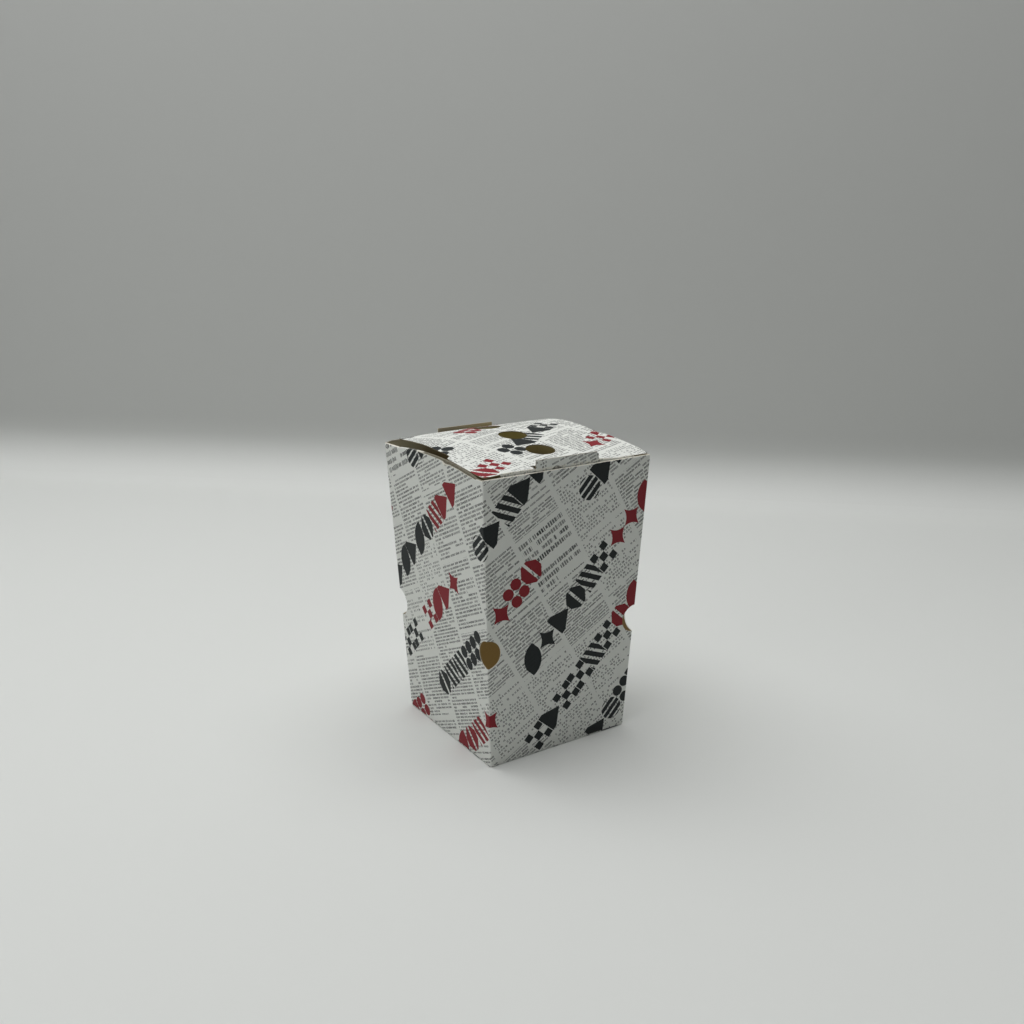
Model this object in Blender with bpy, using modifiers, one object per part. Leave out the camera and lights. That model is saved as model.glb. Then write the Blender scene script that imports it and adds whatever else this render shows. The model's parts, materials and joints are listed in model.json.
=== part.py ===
"""Hinged chip box: a tall tapered paperboard carton with a bowed lid.

Metres, +Z up. The origin is the centre of the base, on the surface it stands on.
The front wall faces -Y, and the lid is hinged along the top of the back wall, +Y.
"""
from math import cos, pi, radians, sin, tan

import bmesh
import bpy
from mathutils import Matrix, Vector

MM = 0.001
GAP = 0.3 * MM                      # clearance kept between touching pieces
BOARD = 0.45 * MM                   # thickness of the board

# Carton: four walls that lean outwards from a square base
BASE_HALF = 42.6 * MM
RIM_HALF = 50.0 * MM
RIM_Z = 152.0 * MM
STOCK_Z = 162.0 * MM                # the walls before their rims are cut
CORNER_R = 0.8 * MM                 # outer radius of the folded edges
LEAN = (RIM_HALF - BASE_HALF) / RIM_Z

# One vent is folded over each upright corner
VENT_R = 7.5 * MM
CORNER_VENT_Z = 63.0 * MM

# The side walls' rims are crowned where the dust flaps fold in
CROWN_FRONT_Y = -44.5 * MM
CROWN_BACK_Y = 32.0 * MM
CROWN_RISE = 3.5 * MM
CROWN_POWER = 2.2                   # a little flatter on top than an arc

# Back wall: sloping shoulders, the lid's crease and the rear stacking tab
BACK_TOP_Z = 152.95 * MM
SHOULDER_X = 46.0 * MM
BACK_TAB_HALF = 17.5 * MM
BACK_TAB_Z = 156.3 * MM
BACK_CUT_Y = 49.4 * MM
TAB_CORNER_R = 1.0 * MM

# Lid: a bow whose highest line lies behind the middle
HINGE_Y = 49.8 * MM
HINGE_Z = 153.45 * MM
LID_CREST_Y = 13.0 * MM
LID_CREST_Z = 159.35 * MM
LID_FRONT_Y = -49.3 * MM
LID_HINGE_HALF = 41.0 * MM
LID_BACK_HALF = 45.2 * MM
LID_FRONT_HALF = 48.8 * MM
LID_SHOULDER_Y = 40.0 * MM
LID_STEP_Y = (-12.0 * MM, -15.5 * MM)
LID_CORNER_R = 3.0 * MM
LID_VENT_Y = (27.0 * MM, 1.5 * MM, -24.0 * MM)

# Tuck flap: hangs behind the front wall and carries the front stacking tab
FOLD_Y = -48.95 * MM
FOLD_Z = 153.6 * MM
FOLD_SETBACK = 1.0 * MM             # lid edge to fold axis, room for the flap to turn
TUCK_LEAN = radians(7.0)
TUCK_LENGTH = 22.0 * MM
TUCK_TOP_HALF = 40.0 * MM
TUCK_END_HALF = 30.0 * MM
TUCK_CORNER_R = 7.0 * MM
FRONT_TAB_X = (-20.0 * MM, 14.5 * MM)
FRONT_TAB_RISE = 4.0 * MM

# Dust flaps: hang inside the side walls
DUST_HANG = radians(50.0)           # below level
DUST_LENGTH = 14.0 * MM
DUST_FRONT_TAPER = 0.5              # along Y for each unit of depth
DUST_BACK_TAPER = 0.5

# Cutters only need to reach past the board that they cut
CUTTER_REACH = 60.0 * MM
CUTTER_TOP_Z = 175.0 * MM
VENT_CUT_DEPTH = 30.0 * MM
LID_CUT_DEPTH = 40.0 * MM
SLOT_CUT_DEPTH = 20.0 * MM
LID_STOCK_HALF = RIM_HALF + 2 * MM

# Steps along curves
ARC_STEPS = 8
BOW_STEPS = 36
VENT_STEPS = 48


def wall_half(z):
    """Half width of the carton's outside at height z."""
    return BASE_HALF + LEAN * z


def crown_z(y):
    """Height of the crowned rim of a side wall: a flattened arch between its ends."""
    middle = (CROWN_FRONT_Y + CROWN_BACK_Y) / 2
    reach = (CROWN_BACK_Y - CROWN_FRONT_Y) / 2
    share = min(1.0, abs(y - middle) / reach)
    return RIM_Z - BOARD + CROWN_RISE * (1 - share ** CROWN_POWER)


def lid_z(y):
    """Height of the lid's middle layer: a parabola behind the crest, an easing curve before it."""
    if y > LID_CREST_Y:
        share = (y - LID_CREST_Y) / (HINGE_Y - LID_CREST_Y)
        return LID_CREST_Z + (HINGE_Z - LID_CREST_Z) * share ** 2
    share = min(1.0, (LID_CREST_Y - y) / (LID_CREST_Y - FOLD_Y))
    return LID_CREST_Z + (FOLD_Z - LID_CREST_Z) * share ** 2 * (3 - 2 * share)


def steps(start, end, count):
    """Evenly spaced values from start to end, both included."""
    return [start + (end - start) * i / count for i in range(count + 1)]


def clear_scene():
    for obj in list(bpy.data.objects):
        bpy.data.objects.remove(obj)


def make_collection(name):
    collection = bpy.data.collections.new(name)
    bpy.context.scene.collection.children.link(collection)
    return collection


def board_material(name, colour):
    material = bpy.data.materials.new(name)
    material.use_nodes = True
    shader = material.node_tree.nodes["Principled BSDF"]
    shader.inputs["Base Color"].default_value = (*colour, 1.0)
    shader.inputs["Roughness"].default_value = 0.6
    shader.inputs["Metallic"].default_value = 0.0
    return material


def add_object(name, bm, collection):
    mesh = bpy.data.meshes.new(name)
    bm.to_mesh(mesh)
    bm.free()
    obj = bpy.data.objects.new(name, mesh)
    collection.objects.link(obj)
    return obj


def add_piece(name, bm, collection, colour):
    piece = add_object(name, bm, collection)
    piece.data.materials.append(board_material(name + "_board", colour))
    return piece


def hide_cutter(cutter):
    cutter.hide_render = True
    cutter.display_type = "WIRE"
    return cutter


def rounded(corners):
    """Outline through (x, y, radius) corners, each with a radius turned into an arc."""
    points = []
    for i, (x, y, radius) in enumerate(corners):
        here = Vector((x, y))
        if radius == 0:
            points.append(here)
            continue
        to_last = (Vector(corners[i - 1][:2]) - here).normalized()
        to_next = (Vector(corners[(i + 1) % len(corners)][:2]) - here).normalized()
        half_angle = to_last.angle(to_next) / 2
        centre = here + (to_last + to_next).normalized() * radius / sin(half_angle)
        first = here + to_last * radius / tan(half_angle) - centre
        turn = first.angle_signed(here + to_next * radius / tan(half_angle) - centre)
        for angle in steps(0.0, turn, ARC_STEPS):
            points.append(centre + Matrix.Rotation(-angle, 2) @ first)
    return points


def outline_mesh(name, points, depth, matrix):
    """Flat outline in local X and Y, made depth thick along local Z by a filled 2D curve."""
    curve = bpy.data.curves.new(name, "CURVE")
    curve.dimensions = "2D"
    curve.fill_mode = "BOTH"
    curve.extrude = depth / 2
    spline = curve.splines.new("POLY")
    spline.points.add(len(points) - 1)
    for point, (x, y) in zip(spline.points, points):
        point.co = (x, y, 0.0, 1.0)
    spline.use_cyclic_u = True
    source = bpy.data.objects.new(name + "_outline", curve)
    bpy.context.scene.collection.objects.link(source)
    evaluated = source.evaluated_get(bpy.context.evaluated_depsgraph_get())
    mesh = bpy.data.meshes.new_from_object(evaluated)
    bm = bmesh.new()
    bm.from_mesh(mesh)
    bpy.data.objects.remove(source)
    bpy.data.meshes.remove(mesh)
    bmesh.ops.remove_doubles(bm, verts=bm.verts, dist=1e-6)
    bmesh.ops.transform(bm, matrix=matrix, verts=bm.verts)
    bmesh.ops.recalc_face_normals(bm, faces=bm.faces)
    return bm


def boolean(piece, cutter, operation="DIFFERENCE"):
    modifier = piece.modifiers.new(cutter.name, "BOOLEAN")
    modifier.operation = operation
    modifier.solver = "EXACT"
    modifier.object = cutter


def thicken(piece, offset):
    """Gives an open surface the board's thickness, inwards at -1 or to both sides at 0."""
    modifier = piece.modifiers.new("board", "SOLIDIFY")
    modifier.thickness = BOARD
    modifier.offset = offset
    modifier.use_even_offset = True


YZ_PLANE = Matrix(((0, 0, 1, 0), (1, 0, 0, 0), (0, 1, 0, 0), (0, 0, 0, 1)))
XZ_PLANE = Matrix(((1, 0, 0, 0), (0, 0, -1, 0), (0, 1, 0, 0), (0, 0, 0, 1)))


def rim_cutter(cutters):
    """Everything above the rims, seen from the side: flat, crowned, and up to the back tab."""
    points = [(-CUTTER_REACH, RIM_Z), (CROWN_FRONT_Y, RIM_Z)]
    points += [(y, crown_z(y)) for y in steps(CROWN_FRONT_Y, CROWN_BACK_Y, BOW_STEPS)]
    points += [(CROWN_BACK_Y, RIM_Z), (BACK_CUT_Y, RIM_Z), (BACK_CUT_Y, BACK_TAB_Z)]
    points += [(CUTTER_REACH, BACK_TAB_Z), (CUTTER_REACH, CUTTER_TOP_Z)]
    points += [(-CUTTER_REACH, CUTTER_TOP_Z)]
    bm = outline_mesh("rim_cut", points, 2 * CUTTER_REACH, YZ_PLANE)
    return hide_cutter(add_object("rim_cut", bm, cutters))


def back_rim_cutter(cutters):
    """Everything above the back wall, seen from the front: shoulders, crease and tab."""
    right = [(BACK_TAB_HALF, BACK_TAB_Z, TAB_CORNER_R), (BACK_TAB_HALF, BACK_TOP_Z, 0)]
    right += [(SHOULDER_X, BACK_TOP_Z, 0), (RIM_HALF, RIM_Z, 0), (CUTTER_REACH, RIM_Z, 0)]
    left = [(-x, z, radius) for x, z, radius in reversed(right)]
    top = [(CUTTER_REACH, CUTTER_TOP_Z, 0), (-CUTTER_REACH, CUTTER_TOP_Z, 0)]
    depth = CUTTER_REACH - BACK_CUT_Y + GAP
    place = Matrix.Translation((0, CUTTER_REACH - depth / 2, 0)) @ XZ_PLANE
    bm = outline_mesh("back_rim_cut", rounded(left + right + top), depth, place)
    return hide_cutter(add_object("back_rim_cut", bm, cutters))


def corner_vent_cutter(name, side_x, side_y, cutters):
    """Bore along a corner's diagonal, narrowed so that it is round on each wall's own face."""
    corner = wall_half(CORNER_VENT_Z)
    bm = bmesh.new()
    bmesh.ops.create_cone(bm, cap_ends=True, segments=VENT_STEPS, radius1=VENT_R,
                          radius2=VENT_R, depth=VENT_CUT_DEPTH)
    narrow = Matrix.Diagonal((cos(pi / 4), 1.0, 1.0, 1.0))
    upright = Matrix.Rotation(pi / 2, 4, "X")
    diagonal = Matrix.Rotation(-pi / 4 * side_x * side_y, 4, "Z")
    place = Matrix.Translation((side_x * corner, side_y * corner, CORNER_VENT_Z))
    bmesh.ops.transform(bm, matrix=place @ diagonal @ upright @ narrow, verts=bm.verts)
    return hide_cutter(add_object(name, bm, cutters))


def build_carton(parts, cutters):
    """Base and four walls of one board, with a rear tab and a vent over each corner."""
    bm = bmesh.new()
    bmesh.ops.create_cube(bm, size=2.0)
    for vert in bm.verts:
        z = STOCK_Z if vert.co.z > 0 else 0.0
        vert.co = (vert.co.x * wall_half(z), vert.co.y * wall_half(z), z)
    lids = [face for face in bm.faces if face.normal.z > 0.9]
    bmesh.ops.delete(bm, geom=lids, context="FACES_ONLY")
    folds = [edge for edge in bm.edges if len(edge.link_faces) == 2]
    bmesh.ops.bevel(bm, geom=folds, offset=CORNER_R, segments=2, profile=0.5, affect="EDGES")
    carton = add_piece("carton", bm, parts, (0.74, 0.74, 0.71))
    thicken(carton, -1)
    boolean(carton, rim_cutter(cutters))
    boolean(carton, back_rim_cutter(cutters))
    for side_x, side_y, place in ((-1, -1, "front_left"), (1, -1, "front_right"),
                                  (1, 1, "back_right"), (-1, 1, "back_left")):
        boolean(carton, corner_vent_cutter(place + "_vent_cut", side_x, side_y, cutters))
    return carton


def lid_outline():
    """Plan of the lid: narrow behind, stepped out in front, with a notch along the fold."""
    fold_y = FOLD_Y + FOLD_SETBACK
    notch = TUCK_TOP_HALF + GAP
    right = [(LID_HINGE_HALF, HINGE_Y - GAP, 0), (LID_BACK_HALF, LID_SHOULDER_Y, 0),
             (LID_BACK_HALF, LID_STEP_Y[0], 0), (LID_FRONT_HALF, LID_STEP_Y[1], 0),
             (LID_FRONT_HALF, LID_FRONT_Y, LID_CORNER_R), (notch, LID_FRONT_Y, 0),
             (notch, fold_y, 0)]
    left = [(-x, y, radius) for x, y, radius in reversed(right)]
    return rounded(right + left)


def slot_cutter(name, left_x, right_x, y_from, y_to, cutters):
    """Block that cuts a straight slot through the lid."""
    bm = bmesh.new()
    bmesh.ops.create_cube(bm, size=1.0)
    size = Matrix.Diagonal((right_x - left_x, y_to - y_from, SLOT_CUT_DEPTH, 1.0))
    place = Matrix.Translation(((left_x + right_x) / 2, (y_from + y_to) / 2, FOLD_Z))
    bmesh.ops.transform(bm, matrix=place @ size, verts=bm.verts)
    return hide_cutter(add_object(name, bm, cutters))


def build_lid(parts, cutters):
    """Bowed panel cut to its plan, with three vents and the slots that the tabs leave."""
    bm = bmesh.new()
    bmesh.ops.create_grid(bm, x_segments=1, y_segments=BOW_STEPS, size=LID_STOCK_HALF)
    for vert in bm.verts:
        vert.co.z = lid_z(vert.co.y)
    lid = add_piece("lid", bm, parts, (0.80, 0.80, 0.77))
    thicken(lid, 0)
    place = Matrix.Translation((0, 0, FOLD_Z))
    plan = outline_mesh("lid_plan", lid_outline(), LID_CUT_DEPTH, place)
    boolean(lid, hide_cutter(add_object("lid_plan", plan, cutters)), "INTERSECT")
    for number, y in enumerate(LID_VENT_Y, start=1):
        bm = bmesh.new()
        bmesh.ops.create_cone(bm, cap_ends=True, segments=VENT_STEPS, radius1=VENT_R,
                              radius2=VENT_R, depth=VENT_CUT_DEPTH)
        bmesh.ops.translate(bm, verts=bm.verts, vec=(0, y, LID_CREST_Z))
        boolean(lid, hide_cutter(add_object(f"lid_vent_cut_{number}", bm, cutters)))
    back_slot_y = HINGE_Y - (BACK_TAB_Z - HINGE_Z) - GAP
    boolean(lid, slot_cutter("back_slot_cut", -BACK_TAB_HALF - GAP, BACK_TAB_HALF + GAP,
                             back_slot_y, CUTTER_REACH, cutters))
    front_slot_y = FOLD_Y + FRONT_TAB_RISE + GAP
    boolean(lid, slot_cutter("front_slot_cut", FRONT_TAB_X[0] - GAP, FRONT_TAB_X[1] + GAP,
                             -CUTTER_REACH, front_slot_y, cutters))
    return lid


def build_tuck_flap(parts):
    """Flap and front tab in one plane through the fold, the flap leaning into the carton."""
    corners = [(FRONT_TAB_X[0], 0, 0), (FRONT_TAB_X[0], FRONT_TAB_RISE, TAB_CORNER_R),
               (FRONT_TAB_X[1], FRONT_TAB_RISE, TAB_CORNER_R), (FRONT_TAB_X[1], 0, 0),
               (TUCK_TOP_HALF, 0, 0), (TUCK_END_HALF, -TUCK_LENGTH, TUCK_CORNER_R),
               (-TUCK_END_HALF, -TUCK_LENGTH, TUCK_CORNER_R), (-TUCK_TOP_HALF, 0, 0)]
    fold = Matrix.Translation((0, FOLD_Y, FOLD_Z))
    lean = Matrix.Rotation(TUCK_LEAN, 4, "X")
    bm = outline_mesh("tuck_flap", rounded(corners), BOARD, lean @ XZ_PLANE)
    tuck_flap = add_piece("tuck_flap", bm, parts, (0.78, 0.78, 0.75))
    tuck_flap.matrix_world = fold
    return tuck_flap


def build_dust_flap(name, side, parts):
    """Flap ruled down and inwards from a side wall's crowned rim; side is -1 left, 1 right."""
    hinge_z = crown_z((CROWN_FRONT_Y + CROWN_BACK_Y) / 2)
    hinge = Vector((side * (wall_half(hinge_z) - BOARD), 0, hinge_z))
    bm = bmesh.new()
    bmesh.ops.create_grid(bm, x_segments=4, y_segments=28, size=1.0)
    for vert in bm.verts:
        depth = GAP + (vert.co.x + 1) / 2 * (DUST_LENGTH - GAP)
        front = CROWN_FRONT_Y + GAP + DUST_FRONT_TAPER * depth
        back = CROWN_BACK_Y - GAP - DUST_BACK_TAPER * depth
        y = front + (vert.co.y + 1) / 2 * (back - front)
        root_z = crown_z(y)
        inwards = depth * cos(DUST_HANG) + BOARD / 2 * sin(DUST_HANG)
        x = side * (wall_half(root_z) - BOARD - inwards)
        z = root_z - depth * sin(DUST_HANG) + BOARD / 2 * cos(DUST_HANG)
        vert.co = Vector((x, y, z)) - hinge
    bmesh.ops.recalc_face_normals(bm, faces=bm.faces)
    flap = add_piece(name, bm, parts, (0.76, 0.76, 0.73))
    flap.location = hinge
    thicken(flap, 0)
    return flap


def main():
    clear_scene()
    parts = make_collection("chip_box")
    cutters = make_collection("cutters")
    build_carton(parts, cutters)
    build_lid(parts, cutters)
    build_tuck_flap(parts)
    build_dust_flap("left_dust_flap", -1, parts)
    build_dust_flap("right_dust_flap", 1, parts)


main()
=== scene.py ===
import json

import bmesh
import bpy
import numpy as np
from mathutils import Matrix, Vector


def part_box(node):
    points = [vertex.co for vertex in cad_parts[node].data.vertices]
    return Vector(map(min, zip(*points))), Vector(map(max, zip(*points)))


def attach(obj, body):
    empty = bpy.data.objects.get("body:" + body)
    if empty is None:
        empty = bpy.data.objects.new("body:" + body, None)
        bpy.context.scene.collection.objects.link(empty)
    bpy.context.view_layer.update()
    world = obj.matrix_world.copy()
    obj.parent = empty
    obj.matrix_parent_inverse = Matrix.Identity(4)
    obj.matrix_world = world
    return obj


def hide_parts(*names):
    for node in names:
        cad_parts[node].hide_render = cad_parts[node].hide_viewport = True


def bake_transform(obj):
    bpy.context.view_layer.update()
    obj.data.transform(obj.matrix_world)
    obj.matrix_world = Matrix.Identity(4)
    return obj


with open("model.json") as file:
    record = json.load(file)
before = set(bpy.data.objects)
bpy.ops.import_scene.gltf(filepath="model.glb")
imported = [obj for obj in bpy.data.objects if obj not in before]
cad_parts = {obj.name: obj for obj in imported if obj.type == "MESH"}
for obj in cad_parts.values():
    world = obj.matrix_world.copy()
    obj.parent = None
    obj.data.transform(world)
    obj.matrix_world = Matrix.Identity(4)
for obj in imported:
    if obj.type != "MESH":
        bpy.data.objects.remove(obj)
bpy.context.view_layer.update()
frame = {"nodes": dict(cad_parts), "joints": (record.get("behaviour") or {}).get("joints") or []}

mm = 0.001


# places that the CAD model gives

def nodePoints(name):
    # every corner of a CAD node's mesh, as rows of x, y, z
    mesh = frame["nodes"][name].data
    points = np.empty(len(mesh.vertices) * 3)
    mesh.vertices.foreach_get("co", points)
    return points.reshape(-1, 3)


joints = {joint["name"]: joint for joint in frame["joints"]}
hingeY, hingeZ = joints["lid_hinge"]["pos_m"][1:]
foldY, foldZ = joints["tuck_fold"]["pos_m"][1:]
dustZ = joints["left_dust_fold"]["pos_m"][2]
lidLow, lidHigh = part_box("lid")
cartonLow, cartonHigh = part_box("carton")
rimHalf = float(-cartonLow[1])

cartonPoints = nodePoints("carton")
frontWall = cartonPoints[:, 1] < -46 * mm
footEdge = cartonPoints[:, 2] < 2 * mm
rimZ = float(cartonPoints[frontWall][:, 2].max())
footEdgeHalf = float(cartonPoints[footEdge][:, 0].max())
footEdgeZ = 0.7 * mm            # height of the CAD model's lowest corners


# board

board = dict(
    thick=0.42 * mm,
    creaseRadius=0.8 * mm,      # outside of the upright folds
    rimRadius=0.75 * mm,        # a free rim is rolled inwards
    slotGap=0.3 * mm,           # beside a stacking tab in its slot
    slotDepth=0.35 * mm,        # and behind it
    weldReach=0.003 * mm,
    sharpAngle=np.radians(40))


def ease(value, start, end):
    # smooth step from 0 at start to 1 at end
    share = np.clip((value - start) / (end - start), 0, 1)
    return share * share * (3 - 2 * share)


def roundedOff(into, radius):
    # how far a round corner draws an edge in, at a distance into the corner
    return radius - np.sqrt(radius ** 2 - into ** 2)


def spread(marks, step):
    # values from mark to mark, close to step apart, keeping every mark
    runs = [np.linspace(a, b, max(2, int(np.ceil(abs(b - a) / step)) + 1))[:-1]
            for a, b in zip(marks[:-1], marks[1:])]
    return np.concatenate(runs + [[marks[-1]]])


class Patch:
    # one grid of points with its place on the flat sheet and the wear of its print, which also
    # carries painted highlight and shade;
    # keep marks the cells that exist
    def __init__(self, points, net, keep=None, wear=0.0):
        self.points, self.net, self.keep = points, net, keep
        self.wear = np.broadcast_to(wear, points.shape[:2])


def gridCells(rows, columns, keep, offset):
    # the grid's quads, facing the side from which columns run right and rows run up
    index = offset + np.arange(rows * columns).reshape(rows, columns)
    quads = np.stack([index[:-1, :-1], index[:-1, 1:], index[1:, 1:], index[1:, :-1]], axis=-1)
    return quads.reshape(-1, 4) if keep is None else quads[keep]


def joinPatches(name, patches):
    # all patches in one mesh, each corner of a face keeping its own place on the sheet
    points, nets, wears, quads, offset = [], [], [], [], 0
    for patch in patches:
        rows, columns = patch.points.shape[:2]
        quads.append(gridCells(rows, columns, patch.keep, offset))
        points.append(patch.points.reshape(-1, 3))
        nets.append(patch.net.reshape(-1, 2))
        wears.append(patch.wear.ravel())
        offset += rows * columns
    quads = np.concatenate(quads).ravel()
    used, corners = np.unique(quads, return_inverse=True)
    mesh = bpy.data.meshes.new(name)
    mesh.vertices.add(len(used))
    mesh.vertices.foreach_set("co", np.concatenate(points)[used].ravel())
    mesh.loops.add(len(corners))
    mesh.loops.foreach_set("vertex_index", corners.ravel())
    mesh.polygons.add(len(corners) // 4)
    mesh.polygons.foreach_set("loop_start", np.arange(0, len(corners), 4))
    mesh.update(calc_edges=True)
    net = mesh.uv_layers.new(name="net")
    net.data.foreach_set("uv", np.concatenate(nets)[quads].ravel())
    # wear of the print, which also carries painted highlights and painted shade
    wear = mesh.attributes.new("wear", "FLOAT", "POINT")
    wear.data.foreach_set("value", np.concatenate(wears)[used].astype(np.float32))
    return mesh


def weld(mesh, closed=False):
    # joins points that lie together; a closed shape gets its faces turned outwards
    bm = bmesh.new()
    bm.from_mesh(mesh)
    bmesh.ops.remove_doubles(bm, verts=bm.verts, dist=board["weldReach"])
    if closed:
        bmesh.ops.recalc_face_normals(bm, faces=bm.faces)
    bm.to_mesh(mesh)
    bm.free()


def addPiece(name, mesh):
    # an object of the scene at the origin
    piece = bpy.data.objects.new(name, mesh)
    bpy.context.scene.collection.objects.link(piece)
    return piece


def boardPiece(name, patches, body, node, cutEdge):
    # welds the patches, thickens them to board and gives face, back and cut edge their finish
    mesh = joinPatches(name, patches)
    weld(mesh)
    piece = addPiece(name, mesh)
    for finish in (printedFace, kraftBack, cutEdge):
        mesh.materials.append(finish)
    solid = piece.modifiers.new("board", "SOLIDIFY")
    solid.thickness = board["thick"]
    solid.offset = -1.0
    solid.use_even_offset = True
    solid.material_offset = 1
    solid.material_offset_rim = 2
    graph = bpy.context.evaluated_depsgraph_get()
    finished = bpy.data.meshes.new_from_object(piece.evaluated_get(graph))
    piece.modifiers.clear()
    piece.data = finished
    finished.name = name
    finished.shade_smooth()
    finished.set_sharp_from_angle(angle=board["sharpAngle"])
    if body:
        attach(piece, body)
    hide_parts(node)
    return piece


# materials

class Wire:
    # a socket of a material; arithmetic on it adds Math nodes
    def __init__(self, tree, socket=None):
        self.tree, self.socket = tree, socket

    def node(self, kind, settings, inputs, output=0):
        made = self.tree.nodes.new(kind)
        for name, value in settings.items():
            setattr(made, name, value)
        for key, value in inputs.items():
            if isinstance(value, Wire):
                self.tree.links.new(value.socket, made.inputs[key])
            else:
                made.inputs[key].default_value = value
        return Wire(self.tree, made.outputs[output])

    def math(self, operation, *others):
        return self.node("ShaderNodeMath", {"operation": operation},
                         dict(enumerate((self, *others))))

    def __add__(self, other):
        return self.math("ADD", other)

    __radd__ = __add__

    def __mul__(self, other):
        return self.math("MULTIPLY", other)

    __rmul__ = __mul__

    def __sub__(self, other):
        return self.math("SUBTRACT", other)

    def __rsub__(self, other):
        return self.node("ShaderNodeMath", {"operation": "SUBTRACT"}, {0: other, 1: self})

    def __truediv__(self, other):
        return self.math("DIVIDE", other)

    def __gt__(self, other):
        return self.math("GREATER_THAN", other)

    def __lt__(self, other):
        return self.math("LESS_THAN", other)

    def floor(self):
        return self.math("FLOOR")

    def fract(self):
        return self.math("FRACT")

    def size(self):
        return self.math("ABSOLUTE")

    def most(self, other):
        return self.math("MAXIMUM", other)

    def join(self, y, z=0.0):
        return self.node("ShaderNodeCombineXYZ", {}, {0: self, 1: y, 2: z})

    def split(self):
        return [self.node("ShaderNodeSeparateXYZ", {}, {0: self}, output) for output in range(3)]

    def chance(self):
        # a fixed random value for each whole-number place
        return self.node("ShaderNodeTexWhiteNoise", {"noise_dimensions": "3D"}, {"Vector": self})

    def noise(self, scale, detail, rough=0.5):
        return self.node("ShaderNodeTexNoise", {"noise_dimensions": "3D"},
                         {"Vector": self, "Scale": scale, "Detail": detail, "Roughness": rough})

    def rise(self, start, end):
        # smooth step from 0 at start to 1 at end
        return self.node("ShaderNodeMapRange", {"interpolation_type": "SMOOTHSTEP"},
                         {"Value": self, "From Min": start, "From Max": end})

    def mix(self, low, high):
        # colour between low and high, with this wire as the factor
        return self.node("ShaderNodeMix", {"data_type": "RGBA"}, {0: self, 6: low, 7: high}, 2)

    def feed(self, shader, socket):
        self.tree.links.new(self.socket, shader.inputs[socket])


def newFinish(name, roughness, specular):
    # a material with its shader and a wire to start its nodes from
    material = bpy.data.materials.new(name)
    material.use_nodes = True
    tree = material.node_tree
    shader = tree.nodes["Principled BSDF"]
    shader.inputs["Roughness"].default_value = roughness
    shader.inputs["Specular IOR Level"].default_value = specular
    return material, Wire(tree), shader


def objectPlace(tree):
    # place in the box, in metres
    return tree.node("ShaderNodeTexCoord", {}, {}, 3)


paper = dict(
    light=(0.79, 0.805, 0.765, 1),
    shade=(0.73, 0.745, 0.705, 1),
    rubbed=(0.86, 0.83, 0.72, 1),           # where the print is rubbed off; a cream lighter than the paper, which is also a painted highlight on rubbed rims and folds
    kraftShown=(0.15, 0.132, 0.085, 1),     # where it is rubbed through; also painted shade under the lid's left edge
    rubbedFrom=(0.35, 0.8),                 # wear at which that begins and is full
    throughFrom=(1.0, 1.5),
    rubbedMost=0.92,
    wearScatter=0.9,                        # how much noise varies the wear
    wearScale=0.9,                          # scale of that noise for a millimetre
    cloudScale=0.35,
    fibreScale=6.0,
    roughness=0.66,
    inkRoughness=-0.08,
    fibreRoughness=0.12,
    inkCover=(0.97, 0.05),                  # and how much the fibres vary it
    specular=0.22,
    bump=0.12)

ink = dict(
    grey=(0.07, 0.074, 0.074, 1),
    black=(0.010, 0.014, 0.015, 1),
    red=(0.235, 0.010, 0.018, 1))

motifs = dict(                  # lengths in millimetres on the flat sheet
    turn=np.radians(48.5),      # of the rows
    rowPitch=33.5,
    pitch=12.6,                 # along a row
    half=6.8,                   # of a motif, across its row
    narrow=0.93,                # along its row
    shift=70,                   # most that a row is moved along itself
    group=6,                    # places of one colour in a row
    filled=4.5,                 # about how many of them hold a motif
    fewerRed=1.6,               # and how many fewer if they are red
    kinds=8)

finePrint = dict(               # lengths in millimetres on the flat sheet
    turn=np.radians(30.0),      # of the lines
    columnWidth=31.0,
    blockHeight=36.0,
    sideMargin=1.3,
    blockGap=2.4,
    headline=0.10,              # share of blocks in large print
    dotty=0.74,                 # blocks past this share are thinly filled
    linePitch=(1.6, 0.36, 2.4),         # least, spread, and more for a headline
    wordPitch=(4.6, 3.6, -2.9),         # then more for a headline and for a dotty block
    wordDrift=(0.2, 1.8),               # scale and strength of the words' uneven lengths
    wordGap=(0.16, 0.22),               # and more for a dotty block
    wordMissing=(0.04, 0.2),
    strokePitch=(0.56, 0.9),            # and more for a headline
    strokeGap=(0.10, 0.28),             # least and spread, in shares of a stroke
    strokeHalf=(0.20, 0.16),            # least and spread, in shares of a line
    fullLines=0.22,             # lines below this share stop early
    shortLine=(5, 90),          # least length and spread
    fullLine=60,
    strength=(0.66, 0.34))


def sheetPlace(tree, angle):
    # place on the flat sheet in millimetres, turned: along and across lines at this angle
    u, v, _ = tree.node("ShaderNodeUVMap", {"uv_map": "net"}, {}).split()
    u, v = u * 1000, v * 1000       # from metres
    along = u * float(np.cos(angle)) + v * float(np.sin(angle))
    across = v * float(np.cos(angle)) - u * float(np.sin(angle))
    return along, across


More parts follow.
